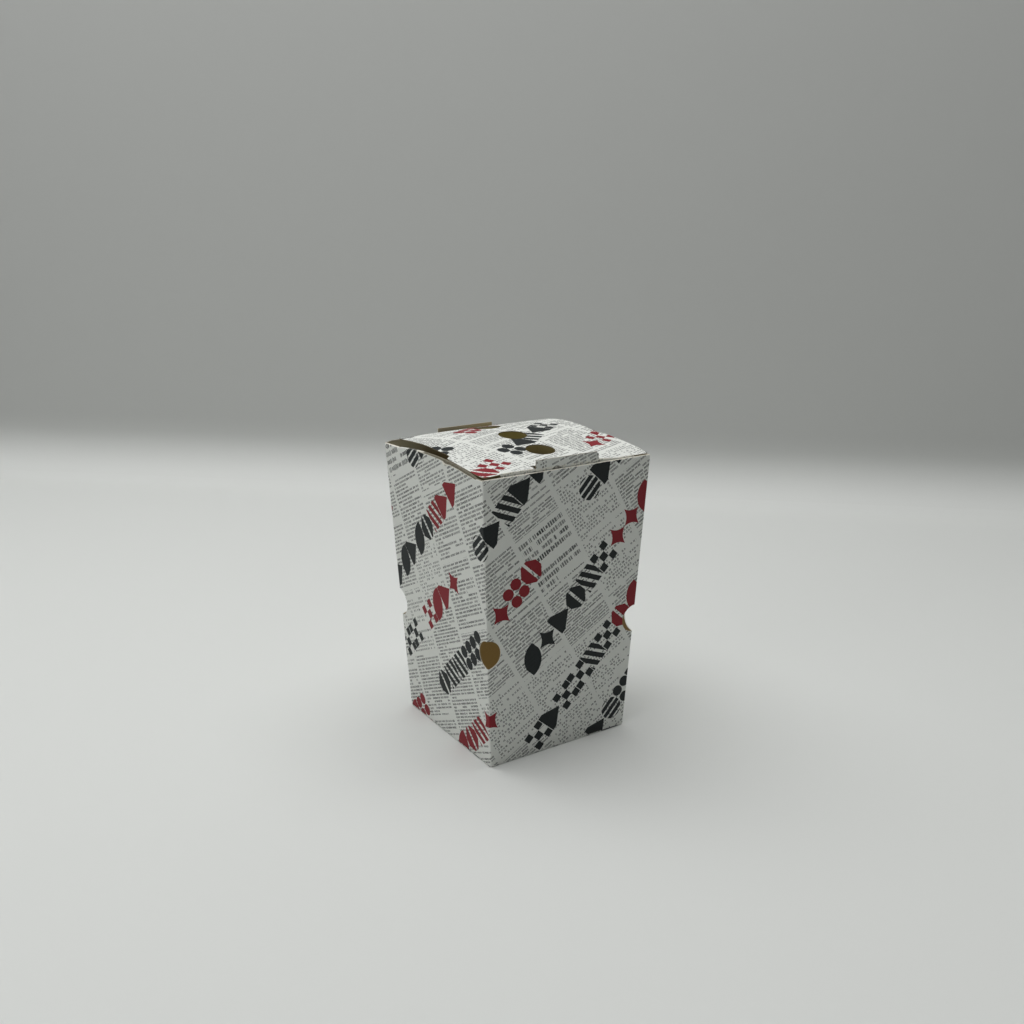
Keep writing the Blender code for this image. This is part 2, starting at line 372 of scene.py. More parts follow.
def motifShapes(x, y):
    # plain shapes in a square from -1 to 1; each is 1 inside and 0 outside
    ax, ay = x.size(), y.size()
    square = ax.most(ay) < 0.97
    disc = (x * x + y * y) < 0.97
    splitDiamond = square * ((ax + ay) < 1.3) * (ax > 0.12)
    wedge = square * ((x + ay * 1.5) < 0.95)
    bars = square * (((x * 1.05 + y * 0.42) * 1.3 + 0.2).fract() < 0.62)
    leaf = ((x - 0.6) * (x - 0.6) + (y + 0.6) * (y + 0.6) < 2.7) * (
        (x + 0.6) * (x + 0.6) + (y - 0.6) * (y - 0.6) < 2.7)        # where two discs overlap
    cellX, cellY = (x * 0.75 + 0.25).fract() < 0.5, (y * 0.75 + 0.25).fract() < 0.5
    checks = square * ((cellX - cellY).size() < 0.5)
    dots = ((ax - 0.5) * (ax - 0.5) + (ay - 0.5) * (ay - 0.5)) < 0.228      # four
    spark = square * ((ax + 0.45) * (ay + 0.45) < 0.66)             # with hollow sides
    stripedDisc = disc * ((y * 1.9 + 0.35).fract() < 0.7)
    return [splitDiamond, wedge, bars, leaf, checks, dots, spark, stripedDisc]


def drawMotifs(along, across):
    # rows of motifs in groups, red and black by turns; gives cover and redness
    row = (across / motifs["rowPitch"]).floor()
    offRow = across - (row + 0.5) * motifs["rowPitch"]
    shifted = along + row.join(0.0, 7.0).chance() * motifs["shift"]
    place = (shifted / motifs["pitch"]).floor()
    offPlace = shifted - (place + 0.5) * motifs["pitch"]
    group = (place / motifs["group"]).floor()
    redness = ((group + row) / 2).fract() > 0.25
    oneMore = group.join(row, 5.0).chance() > 0.5
    longest = motifs["filled"] + oneMore - redness * motifs["fewerRed"]
    filled = (place - group * motifs["group"]) < longest
    pick = place.join(row, 3.0).chance() * motifs["kinds"]
    x, y = offPlace / (motifs["half"] * motifs["narrow"]), offRow / motifs["half"]
    cover = None
    for number, shape in enumerate(motifShapes(x, y)):
        chosen = (pick > number) * (pick < number + 1.0) * shape
        cover = chosen if cover is None else cover.most(chosen)
    return cover * filled, redness


def drawFinePrint(along, across):
    # broken grey lines, like small print seen from too far to read: columns are cut into
    # blocks, blocks into lines, lines into words and words into strokes, by chance
    column = (along / finePrint["columnWidth"]).floor()
    inColumn = along - column * finePrint["columnWidth"]
    shifted = across + column.join(0.0, 1.0).chance() * finePrint["blockHeight"]
    block = (shifted / finePrint["blockHeight"]).floor()
    inBlock = shifted - block * finePrint["blockHeight"]
    style = column.join(block, 2.0).chance()
    headline, dotty = style < finePrint["headline"], style > finePrint["dotty"]
    least, more, moreInHeadline = finePrint["linePitch"]
    pitch = least + (style * 7).fract() * more + headline * moreInHeadline
    line, inLine = (inBlock / pitch).floor(), (inBlock / pitch).fract()
    lineChance = line.join(block, column).chance()

    least, moreInHeadline, moreInDotty = finePrint["wordPitch"]
    wordPitch = least + headline * moreInHeadline + dotty * moreInDotty
    scale, strength = finePrint["wordDrift"]
    drift = (along * scale).join(line * 7.1 + block * 3.3, column).noise(1.0, 0.0)
    run = along / wordPitch + drift * strength + lineChance * 10
    wordChance = run.floor().join(line + block * 31, column + 0.5).chance()
    least, moreInDotty = finePrint["wordGap"]
    inWord = run.fract() > least + dotty * moreInDotty
    least, moreInDotty = finePrint["wordMissing"]
    wordThere = wordChance > least + dotty * moreInDotty

    least, moreInHeadline = finePrint["strokePitch"]
    stroke = along / (least + headline * moreInHeadline)
    strokeChance = stroke.floor().join(line * 3 + block, column).chance()
    least, more = finePrint["strokeHalf"]
    inHeight = (inLine - 0.5).size() < least + strokeChance * more
    least, more = finePrint["strokeGap"]
    inStroke = stroke.fract() > least + strokeChance * more

    inMargins = (inColumn > finePrint["sideMargin"]) * (inBlock > finePrint["blockGap"]) * (
        inColumn < finePrint["columnWidth"] - finePrint["sideMargin"])
    fullLine = finePrint["fullLine"] * (lineChance > finePrint["fullLines"])
    least, more = finePrint["shortLine"]
    inLength = inColumn < fullLine + least + lineChance * more
    least, more = finePrint["strength"]
    cover = inHeight * inStroke * inWord * wordThere * inMargins * inLength
    return cover * (least + wordChance * more)


def makePrintedFace():
    # mottled paper, then fine print, then motifs, then wear down to paper and to kraft; the wear
    # also paints highlights on rims and folds and shade under the lid's left edge
    material, tree, shader = newFinish("printedFace", paper["roughness"], paper["specular"])
    cover, redness = drawMotifs(*sheetPlace(tree, motifs["turn"]))
    along, across = sheetPlace(tree, finePrint["turn"])
    place = along.join(across)
    cloud = place.noise(paper["cloudScale"], 3.0, 0.55)
    fibre = place.noise(paper["fibreScale"], 3.0, 0.7)
    bare = (cloud * 0.5 + fibre * 0.5).mix(paper["shade"], paper["light"])
    printed = drawFinePrint(along, across).mix(bare, ink["grey"])
    bold = redness.mix(ink["black"], ink["red"])
    least, more = paper["inkCover"]
    inked = (cover * (least + fibre * more)).mix(printed, bold)
    # wear of the print, with painted highlights on rims and folds and painted shade under the
    # lid's left edge
    wear = tree.node("ShaderNodeAttribute", {"attribute_name": "wear"}, {}, 2)
    scatter = (place.noise(paper["wearScale"], 3.0, 0.6) - 0.5) * paper["wearScatter"]
    worn = wear + scatter
    under = worn.rise(*paper["throughFrom"]).mix(paper["rubbed"], paper["kraftShown"])
    rubbed = worn.rise(*paper["rubbedFrom"]) * paper["rubbedMost"]
    rubbed.mix(inked, under).feed(shader, "Base Color")
    roughness = paper["roughness"] + cover * paper["inkRoughness"]
    (roughness + (fibre - 0.5) * paper["fibreRoughness"]).feed(shader, "Roughness")
    bump = tree.node("ShaderNodeBump", {}, {
        "Strength": paper["bump"], "Distance": 0.1 * mm, "Height": fibre})
    bump.feed(shader, "Normal")
    return material


kraft = dict(
    dark=(0.30, 0.26, 0.175, 1),
    light=(0.42, 0.375, 0.27, 1),
    fibreScale=900.0,
    cloudScale=60.0,
    roughness=0.75,
    specular=0.25,
    wallGlow=(0.050, 0.033, 0.012, 1),      # painted light: emission for light coming in through the walls
    wallGlowZ=(115 * mm, 85 * mm),
    lidGlow=(0.047, 0.040, 0.012, 1),       # painted light: emission for light through the lid, more on the right
    lidGlowX=(-15 * mm, 15 * mm),
    lidGlowZ=(128 * mm, 147 * mm),
    gapLight=(0.052, 0.050, 0.036, 1),      # painted light: emission for light through the gap at the lid's back left
    gapX=(-12 * mm, -42 * mm),
    gapY=(0.0, 30 * mm),
    gapZ=(138 * mm, 150 * mm))


def makeKraftBack():
    # brown fibres, with painted light: a weak emitted glow where daylight comes through the
    # board, fading out higher up the walls as painted shade
    material, tree, shader = newFinish("kraftBack", kraft["roughness"], kraft["specular"])
    place = objectPlace(tree)
    fibre = place.noise(kraft["fibreScale"], 4.0, 0.65)
    cloud = place.noise(kraft["cloudScale"], 3.0, 0.5)
    (fibre * 0.5 + cloud * 0.5).mix(kraft["dark"], kraft["light"]).feed(shader, "Base Color")
    x, y, z = place.split()
    glow = z.rise(*kraft["wallGlowZ"]).mix((0, 0, 0, 1), kraft["wallGlow"])
    underLid = z.rise(*kraft["lidGlowZ"]) * x.rise(*kraft["lidGlowX"])
    gap = z.rise(*kraft["gapZ"]) * x.rise(*kraft["gapX"]) * y.rise(*kraft["gapY"])
    lit = gap.mix(underLid.mix(glow, kraft["lidGlow"]), kraft["gapLight"])
    lit.feed(shader, "Emission Color")
    shader.inputs["Emission Strength"].default_value = 1.0
    return material


# the board's cut edge in two copies: the pale one, on the carton, is painted lighter as a
# highlight where its rims face the light; the brown one, on the lid, tuck flap and dust flaps, is
# the kraft core painted darker where those edges lie in shade
edges = dict(
    paleDark=(0.62, 0.59, 0.49, 1),
    paleLight=(0.82, 0.79, 0.70, 1),
    brownDark=(0.16, 0.13, 0.085, 1),
    brownLight=(0.28, 0.235, 0.16, 1),
    fibreScale=1500.0,
    roughness=0.85,
    specular=0.5)


def makeCutEdge(name, dark, light):
    # board cut through: fine fibres of two tones
    material, tree, shader = newFinish(name, edges["roughness"], edges["specular"])
    fibre = objectPlace(tree).noise(edges["fibreScale"], 3.0, 0.6)
    fibre.mix(dark, light).feed(shader, "Base Color")
    return material


printedFace = makePrintedFace()
kraftBack = makeKraftBack()
# pale cut edge with a painted highlight, brown cut edge with painted shade
paleEdge = makeCutEdge("paleEdge", edges["paleDark"], edges["paleLight"])
brownEdge = makeCutEdge("brownEdge", edges["brownDark"], edges["brownLight"])
print("materials made")


# carton

carton = dict(
    lean=(rimHalf - footEdgeHalf) / (rimZ - footEdgeZ),
    footRadius=0.8 * mm,
    ventRadius=7.5 * mm,
    ventZ=63.0 * mm,
    crownFront=-44.5 * mm,
    crownBack=32.0 * mm,
    crownStart=-0.45 * mm,      # the crown's ends, from the rim
    crownPower=2.2,
    crownLift=0.9 * mm,         # the crown runs out higher at its back end
    backCornerLift=0.35 * mm,
    shoulderX=46.0 * mm,        # the back wall's top slopes down beyond this
    tabHalf=17.5 * mm,
    tabZ=float(cartonHigh[2]),
    backZ=hingeZ - 0.2 * mm,
    cornerWear=0.3,             # print rubbed off the upright folds and free rims; on the free rims it is also a painted highlight
    rimWear=0.95,
    baseNet=-4 * mm,            # the base's print starts this far below the front wall's
    evenShare=0.90,             # columns are evenly apart up to this share of the half width
    bendShare=0.9845,           # and close together past this one, round the fold
    evenTop=140 * mm,           # rows are level up to here and follow the rim above it
    rowCloseness=1.8)           # power by which they draw together towards the rim
carton["footHalf"] = rimHalf - carton["lean"] * rimZ

creaseRubAndShade = dict(             # the left wall's crease under the lid's edge: rubbed through to kraft, and also painted shade from the lid's edge
    strength=3.0,
    y=(24 * mm, -16 * mm),      # from nothing to full
    depth=0.3 * mm,
    middleDepth=0.6 * mm,       # more than that between these
    middleY=((-12 * mm, -20 * mm), (-46 * mm, -34 * mm)),
    spot=1.3,                   # a larger rubbed spot beside the lid's step
    spotY=-15.5 * mm,
    spotSize=(3.2 * mm, 2.6 * mm))


def wallHalf(z):
    # half width of the carton's outside, growing evenly with height
    return carton["footHalf"] + carton["lean"] * z


def levelRim(x):
    # rim of the front wall
    return 0 * x + rimZ


def crownZ(y):
    # rim of a side wall: a flattened arch lifted at its back end, level in front of it and
    # falling straight to the back corner behind it
    middle = (carton["crownFront"] + carton["crownBack"]) / 2
    reach = (carton["crownBack"] - carton["crownFront"]) / 2
    share = np.clip(np.abs(y - middle) / reach, 0, 1)
    foot = rimZ + carton["crownStart"]
    arch = foot + (dustZ - foot) * (1 - share ** carton["crownPower"])
    arch = arch + carton["crownLift"] * np.clip((y - middle) / reach, 0, 1) ** 3
    fall = np.clip((y - carton["crownBack"]) / (rimHalf - carton["crownBack"]), 0, 1)
    behind = rimZ + carton["crownLift"] * (1 - fall) + carton["backCornerLift"] * fall
    return np.where(share < 1, arch, np.where(y > middle, behind, rimZ))


def backTop(x):
    # rim of the back wall: level, sloping down to the corners over its last few millimetres
    fall = np.clip((np.abs(x) - carton["shoulderX"]) / (rimHalf - carton["shoulderX"]), 0, 1)
    return carton["backZ"] + (rimZ + carton["backCornerLift"] - carton["backZ"]) * fall


def freeFront(x):
    # 1 all along: the tuck flap only leans on the front wall
    return 0 * x + 1


def freeOfDustFlap(y):
    # 1 where a side wall's rim carries no flap
    return ((y < carton["crownFront"]) | (y > carton["crownBack"])) * 1.0


def freeOfLid(x):
    # 1 where the back wall's rim doesn't carry the lid
    return (np.abs(x) > lid["hingeHalf"]) * 1.0


# the flat sheet that the box is folded from: its walls lie in a fan about one far centre

frontPanel, rightPanel, backPanel, leftPanel = 0, 1, -2, -1
slope = np.arctan(carton["lean"])
fanTurn = 2 * slope
fanApex = -carton["footHalf"] / carton["lean"]


def netPlace(panel, across, up):
    # flat place of a point on a panel, turned about the fan's centre
    turn = panel * fanTurn
    reach = up - fanApex
    return np.stack([across * np.cos(turn) + reach * np.sin(turn),
                     reach * np.cos(turn) - across * np.sin(turn) + fanApex], axis=-1)


def wallUp(z):
    # length up a leaning wall from the base to a height
    return z / np.cos(slope)


def creaseSplit(distance, flat, radius):
    # distance along the face turned into a sideways place and a setback, through a fold's arc
    past = np.clip(np.abs(distance) - flat, 0, None) / radius
    side = np.sign(distance) * (np.minimum(np.abs(distance), flat) + radius * np.sin(past))
    return side, radius * (1 - np.cos(past))


def wallColumns():
    # shares of the half width: close together at the folds, with the tab's and shoulders' own
    even = np.linspace(0, carton["evenShare"], 25)
    special = [carton["tabHalf"] / rimHalf, carton["shoulderX"] / rimHalf, 0.955, 0.98]
    bend = np.linspace(carton["bendShare"], 1.0, 5)
    half = np.unique(np.concatenate([even, special, bend]).round(6))
    return np.concatenate([-half[:0:-1], half])


def wallRows():
    # heights: evenly apart, and round the vent by the angle on its circle
    around = np.linspace(-np.pi / 2, np.pi / 2, 25)
    vent = carton["ventZ"] + carton["ventRadius"] * np.sin(around)
    below = np.linspace(carton["footRadius"], vent[0], 13)[:-1]
    above = np.linspace(vent[-1], carton["evenTop"], 16)[1:]
    return np.concatenate([below, vent, above])


def creaseScuffAndShade(y, below):
    # wear and painted shade of the left wall's crease: bell curves of the distance below it,
    # along its front half and round one spot
    deeper = [ease(y, *ends) for ends in creaseRubAndShade["middleY"]]
    reach = creaseRubAndShade["depth"] + creaseRubAndShade["middleDepth"] * deeper[0] * deeper[1]
    line = creaseRubAndShade["strength"] * np.exp(-(below / reach) ** 2) * ease(y, *creaseRubAndShade["y"])
    spotY, spotDepth = creaseRubAndShade["spotSize"]
    spot = np.exp(-((y - creaseRubAndShade["spotY"]) / spotY) ** 2 - (below / spotDepth) ** 2)
    return line + creaseRubAndShade["spot"] * spot


def wallPatch(panel, normal, tangent, topOf, freeAt):
    # a wall: across by share of its half width, up by height, drawn in round the corner vents;
    # its rim is rounded where it is free
    columns, rows = wallColumns(), wallRows()
    radius = board["creaseRadius"]
    closing = 1 - (1 - np.linspace(0, 1, 12)[1:, None]) ** carton["rowCloseness"]
    bend = np.sin(np.linspace(0, np.pi / 2, 8)[1:, None])
    rimSide = columns * rimHalf
    free = freeAt(rimSide)
    rim = board["rimRadius"] * np.clip(free, 0.01, 1)[None]
    shoulder = topOf(rimSide)[None] - rim
    low = np.broadcast_to(rows[:, None], (len(rows), len(columns)))
    z = np.concatenate([low, rows[-1] + (shoulder - rows[-1]) * closing, shoulder + rim * bend])
    half = wallHalf(z)
    flat = half - radius
    full = flat + radius * np.pi / 4
    besideVent = np.clip(1 - ((z - carton["ventZ"]) / carton["ventRadius"]) ** 2, 0, None)
    across = columns * (full - carton["ventRadius"] * np.sqrt(besideVent))
    side, setback = creaseSplit(across, flat, radius)
    over = np.clip((z - shoulder) / rim, 0, 1)
    out = half - setback - board["rimRadius"] * free * (1 - np.sqrt(1 - over ** 2))
    points = out[..., None] * np.array(normal, float) + side[..., None] * np.array(tangent, float)
    points[..., 2] = z
    upright = np.clip((np.abs(across) - flat) / (radius * np.pi / 4), 0, 1)
    # free rims are rubbed, with a painted highlight along them
    wear = np.maximum(carton["cornerWear"] * upright ** 2, carton["rimWear"] * over * free)
    if panel == leftPanel:
        # the left wall's crease takes wear and painted shade under the lid's edge
        wear = np.maximum(wear, creaseScuffAndShade(-side, topOf(rimSide)[None] - z))
    return Patch(points, netPlace(panel, across, wallUp(z)), wear=wear)


def footPatch(wall):
    # below a wall: its lowest row rolls under the box and runs in to the middle of the base
    radius = carton["footRadius"]
    ring = wall.points[0]
    angles = np.linspace(0, np.pi / 2, 5)[1:]
    inset = radius * (1 - np.cos(angles)) / carton["footHalf"]
    rolled = ring[None] * (1 - inset)[:, None, None]
    rolled[..., 2] = (radius * (1 - np.sin(angles)))[:, None]
    inner = np.linspace(1, 0, 7)[1:]
    base = rolled[-1][None] * inner[:, None, None]
    points = np.concatenate([base[::-1], rolled[::-1], ring[None]])
    down = points[..., 1] - carton["footHalf"] + carton["baseNet"]
    net = np.stack([points[..., 0], down], axis=-1)
    return Patch(points, net)


def backTabPatch(wall):
    # the rear stacking tab rises from the back wall's top row, between two of its columns
    top = wall.points[-1]
    foot = top[np.abs(top[:, 0]) <= carton["tabHalf"] + 0.1 * mm]
    rise = np.linspace(0, 1, 5)
    z = foot[None, :, 2] + (carton["tabZ"] - foot[:, 2])[None] * rise[:, None]
    points = np.broadcast_to(foot, (len(rise), *foot.shape)).copy()
    points[..., 2] = z
    points[..., 1] += carton["lean"] * (z - foot[None, :, 2])
    return Patch(points, netPlace(backPanel, -points[..., 0], wallUp(z)))


def buildCarton():
    walls = [
        (frontPanel, (0, -1, 0), (1, 0, 0), levelRim, freeFront),
        (rightPanel, (1, 0, 0), (0, 1, 0), crownZ, freeOfDustFlap),
        (backPanel, (0, 1, 0), (-1, 0, 0), backTop, freeOfLid),
        (leftPanel, (-1, 0, 0), (0, -1, 0), lambda y: crownZ(-y), lambda y: freeOfDustFlap(-y))]
    patches = []
    for panel, normal, tangent, topOf, freeAt in walls:
        wall = wallPatch(panel, normal, tangent, topOf, freeAt)
        patches += [wall, footPatch(wall)]
        if panel == backPanel:
            patches.append(backTabPatch(wall))
    boardPiece("cartonShell", patches, "carton", "carton", paleEdge)
    print("carton made")


# lid

lid = dict(
    crestY=13.0 * mm,
    crestZ=float(lidHigh[2]) - 0.225 * mm,
    hingeHalf=41.0 * mm,
    backHalf=45.2 * mm,
    frontHalf=float(lidHigh[0]),
    shoulderY=40.0 * mm,
    stepY=(-12.0 * mm, -15.5 * mm),
    frontY=float(lidLow[1]),
    cornerRadius=1.2 * mm,
    ventRadius=7.5 * mm,
    ventY=(27.0 * mm, 1.5 * mm, -24.0 * mm),
    ventSquare=10.0 * mm,       # half of the square of grid lines round a vent
    foldRow=0.8 * mm,           # a row of the grid this far behind the fold
    rowStep=1.25 * mm,
    columnStep=1.6 * mm,
    sagPower=3.5,
    sagY=np.array([-49.3, -40, -30, -15.5, -12, -8, -3, 3, 10, 22, 32, 42, 49.8]) * mm,
    sag=np.array([0.2, 0.65, 0.7, 1.2, 1.6, 1.85, 2.25, 2.6, 2.6, 2.6, 2.05, 0.8, 0]) * mm,
    rightSagY=np.array([-49.3, -44, -40, -34, -30, -26, -22, -15.5, -12, -8, 10, 49.8]) * mm,
    rightSag=np.array([0, 0, -0.2, -0.3, -0.3, -0.1, 0.1, 0.4, -0.2, 0.1, 0.2, 0]) * mm,
    cornerDroop=0.4 * mm,       # of the front left corner
    cornerX=(-36 * mm, -47 * mm),
    cornerY=(-36 * mm, -48 * mm),
    frontDroop=1.1 * mm,        # the right half of the front edge bends down to the rim
    frontDroopX=(15 * mm, 30 * mm),
    frontDroopY=(-40 * mm, -49.5 * mm))


def lidZ(y):
    # middle of the lid's board: a parabola behind the crest, an easing curve in front of it
    back = (y - lid["crestY"]) / (hingeY - lid["crestY"])
    front = np.clip((lid["crestY"] - y) / (lid["crestY"] - foldY), 0, 1)
    behind = lid["crestZ"] + (hingeZ - lid["crestZ"]) * back ** 2
    before = lid["crestZ"] + (foldZ - lid["crestZ"]) * front ** 2 * (3 - 2 * front)
    return np.where(y > lid["crestY"], behind, before)


def bowLength(y):
    # length along the bowed lid from its hinge to the line at y
    line = np.linspace(hingeY, foldY, 400)
    rise = lidZ(line)
    run = np.concatenate([[0], np.cumsum(np.hypot(np.diff(line), np.diff(rise)))])
    return np.interp(-y, -line, run)


lidStart = wallUp(carton["backZ"])
foldReach = lidStart + float(bowLength(np.array(foldY)))


def lidHalf(y):
    # half width of the lid in plan: tapered at the hinge, stepped out in front, round corners
    stations = [foldY - 5 * mm, lid["stepY"][1], lid["stepY"][0], lid["shoulderY"], hingeY]
    widths = [lid["frontHalf"], lid["frontHalf"], lid["backHalf"], lid["backHalf"],
              lid["hingeHalf"]]
    into = np.clip(lid["frontY"] + lid["cornerRadius"] - y, 0, lid["cornerRadius"])
    return np.interp(y, stations, widths) - roundedOff(into, lid["cornerRadius"])


def frontDroop(x):
    # how far the front edge lies below its middle
    return lid["frontDroop"] * ease(x, *lid["frontDroopX"])


def lidDroop(x, y):
    # the lid's left side sags where nothing holds it up, its right side waves a little;
    # its front edge bends down on the right
    outward = np.clip(np.abs(x) / lid["backHalf"], 0, 1) ** lid["sagPower"]
    leftSag = np.interp(y, lid["sagY"], lid["sag"])
    rightSag = np.interp(y, lid["rightSagY"], lid["rightSag"])
    corner = ease(x, *lid["cornerX"]) * ease(y, *lid["cornerY"])
    droop = np.where(x < 0, leftSag, rightSag) * outward + lid["cornerDroop"] * corner
    return droop + frontDroop(x) * ease(y, *lid["frontDroopY"])


def lidPatch(x, y, keep=None):
    # top of the lid above places in plan, half a board above its middle
    points = np.stack([x, y, lidZ(y) + board["thick"] / 2 - lidDroop(x, y)], axis=-1)
    return Patch(points, netPlace(backPanel, -x, lidStart + bowLength(y)), keep)


def ventPatch(centreY, ySide, xSide):
    # between a round hole and the square of grid lines about it, along rays from the middle
    half = lid["ventSquare"]
    up = ySide - centreY
    edge = np.concatenate([
        np.stack([xSide, np.full_like(xSide, up[0])], 1)[:-1],
        np.stack([np.full_like(up, half), up], 1)[:-1],
        np.stack([xSide[::-1], np.full_like(xSide, up[-1])], 1)[:-1],
        np.stack([np.full_like(up, -half), up[::-1]], 1)])
    hole = edge / np.linalg.norm(edge, axis=1, keepdims=True) * lid["ventRadius"]
    out = np.linspace(0, 1, 5)[:, None, None]
    plan = (hole + (edge - hole) * out)[:, ::-1]
    return lidPatch(plan[..., 0], plan[..., 1] + centreY)


def cornerPatch(side):
    # the lid's front corner runs on past the fold, with its corner rounded
    rows = lid["frontY"] + lid["cornerRadius"] * (1 - np.sin(np.linspace(0, np.pi / 2, 9)))
    back = foldY + tuck["creaseGap"]
    tooClose = 0.02 * mm
    rows = np.unique(np.append(rows[rows < back - tooClose], back).round(7))
    half = lidHalf(rows)[:, None]
    x = tuck["topHalf"] + (half - tuck["topHalf"]) * np.linspace(0, 1, 7)
    x = x if side > 0 else -x[:, ::-1]
    return lidPatch(x, np.broadcast_to(rows[:, None], x.shape))


def buildLid():
    # a grid in plan, less its slots and the squares round its vents, which are patches of
    # their own, as are the front corners
    h = lid["ventSquare"]
    slotBack = hingeY - (carton["tabZ"] - hingeZ) - board["slotDepth"]
    slotFront = foldY + tuck["tabRise"] + board["slotDepth"]
    marks = [hingeY, slotBack]
    for y in lid["ventY"]:
        marks += [y + h, y - h]
    marks += [slotFront, foldY + lid["foldRow"], foldY + tuck["creaseGap"]]
    rows = np.unique(np.concatenate([spread(marks, lid["rowStep"]), lid["stepY"],
                                     [lid["shoulderY"]]]).round(7))
    slotLeft, slotRight = frontSlot()
    slotHalf, top = backSlotHalf(), tuck["topHalf"]
    inner = spread([-top, slotLeft, -slotHalf, -h, h, slotRight, slotHalf, top],
                   lid["columnStep"])
    outer = np.linspace(0, 1, 7)[1:]
    beyond = lidHalf(rows)[:, None] - top
    x = np.concatenate([-top - beyond * outer[None, ::-1],
                        np.broadcast_to(inner, (len(rows), len(inner))),
                        top + beyond * outer[None]], axis=1)
    y = np.broadcast_to(rows[:, None], x.shape)
    midX = (x[:-1, :-1] + x[1:, 1:]) / 2
    midY = (y[:-1, :-1] + y[1:, 1:]) / 2
    keep = ~((midY > slotBack) & (np.abs(midX) < slotHalf))
    keep &= ~((midY < slotFront) & (midX > slotLeft) & (midX < slotRight))
    for centre in lid["ventY"]:
        keep &= ~((np.abs(midX) < h) & (np.abs(midY - centre) < h))
    patches = [lidPatch(x, y, keep)]
    near = h + 0.001 * mm
    sideX = inner[np.abs(inner) < near]
    for centre in lid["ventY"]:
        patches.append(ventPatch(centre, rows[np.abs(rows - centre) < near], sideX))
    patches += [cornerPatch(-1), cornerPatch(1)]
    boardPiece("lidPanel", patches, "lid", "lid", brownEdge)
    print("lid made")


def frontSlot():
    # left and right ends of the slot round the front stacking tab
    return tuck["tabX"][0] - board["slotGap"], tuck["tabX"][1] + board["slotGap"]


def backSlotHalf():
    # half length of the slot round the rear one
    return carton["tabHalf"] + board["slotGap"]


# folds that turn: round beads on the joints' axes

bead = dict(
    lidRadius=0.25 * mm,        # outside of the lid's crease
    tuckRadius=0.36 * mm,
    lidEnd=0.2 * mm,            # the lid's bead stops this far short of its corners
    wear=0.62,
    taper=4,                    # length of an end, in radii
    step=3 * mm,
    sharpAngle=np.radians(50))


def addBead(name, left, right, y, z, radius, body, reach, sink=lambda x: 0 * x):
    # a thin rod with tapered ends along a fold, with the sheet's print carried round it;
    # sink gives how far each place along it lies below z
    taper = bead["taper"] * radius
    into = taper * (1 - np.cos(np.linspace(0, np.pi / 2, 7)))
    count = max(3, int((right - left) / bead["step"]))
    along = np.linspace(left + taper, right - taper, count)
    along = np.concatenate([left + into[:-1], along, right - into[-2::-1]])
    angle, x = np.meshgrid(np.linspace(0, 2 * np.pi, 17), along, indexing="ij")
    closeness = np.clip(np.minimum(x - left, right - x) / taper, 0, 1)
    r = radius * np.sqrt(1 - (1 - closeness) ** 2)
    points = np.stack([x, y + r * np.cos(angle), z - sink(x) + r * np.sin(angle)], axis=-1)
    net = netPlace(backPanel, -x, reach + radius * (np.pi - angle) / 2)
    mesh = joinPatches(name, [Patch(points, net, wear=bead["wear"])])
    weld(mesh, closed=True)
    mesh.materials.append(printedFace)
    mesh.shade_smooth()
    mesh.set_sharp_from_angle(angle=bead["sharpAngle"])
    piece = addPiece(name, mesh)
    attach(piece, body)


def buildBeads():
    slot, edge = backSlotHalf(), lid["hingeHalf"] - bead["lidEnd"]
    place = hingeY, hingeZ, bead["lidRadius"], "lid", lidStart
    addBead("lidCreaseLeft", -edge, -slot, *place)
    addBead("lidCreaseRight", slot, edge, *place)
    slotLeft, slotRight = frontSlot()
    inward = board["thick"] / 2 - bead["tuckRadius"]
    place = foldY - inward, foldZ + inward, bead["tuckRadius"], "tuck_flap", foldReach
    addBead("tuckCreaseLeft", -tuck["topHalf"], slotLeft, *place)
    addBead("tuckCreaseRight", slotRight, tuck["topHalf"], *place, frontDroop)
    print("creases made")


# tuck flap

tuck = dict(
    lean=np.radians(7.0),
    length=22.0 * mm,
    topHalf=40.0 * mm,
    endHalf=30.0 * mm,
    cornerRadius=7.0 * mm,
    tabX=(-20.0 * mm, 17.2 * mm),
    tabRise=4.0 * mm,
    tabCut=1.4 * mm,            # the tab's right corner is cut off
    creaseGap=0.3 * mm,         # between the fold and the lid's board
    columnStep=0.05,            # in shares of the half width
    wornDepth=(2.6 * mm, 1.0 * mm))     # below the crease: no wear, full wear


def tuckPatch(x, down, wear=0.0):
    # printed side of the plane through the fold, leaning into the carton below it
    lean, thick = tuck["lean"], board["thick"]
    y = foldY - thick / 2 * np.cos(lean) + down * np.sin(lean)
    z = foldZ - thick / 2 * np.sin(lean) - down * np.cos(lean) - frontDroop(x)
    return Patch(np.stack([x, y, z], axis=-1), netPlace(backPanel, -x, foldReach + down),
                 wear=wear)


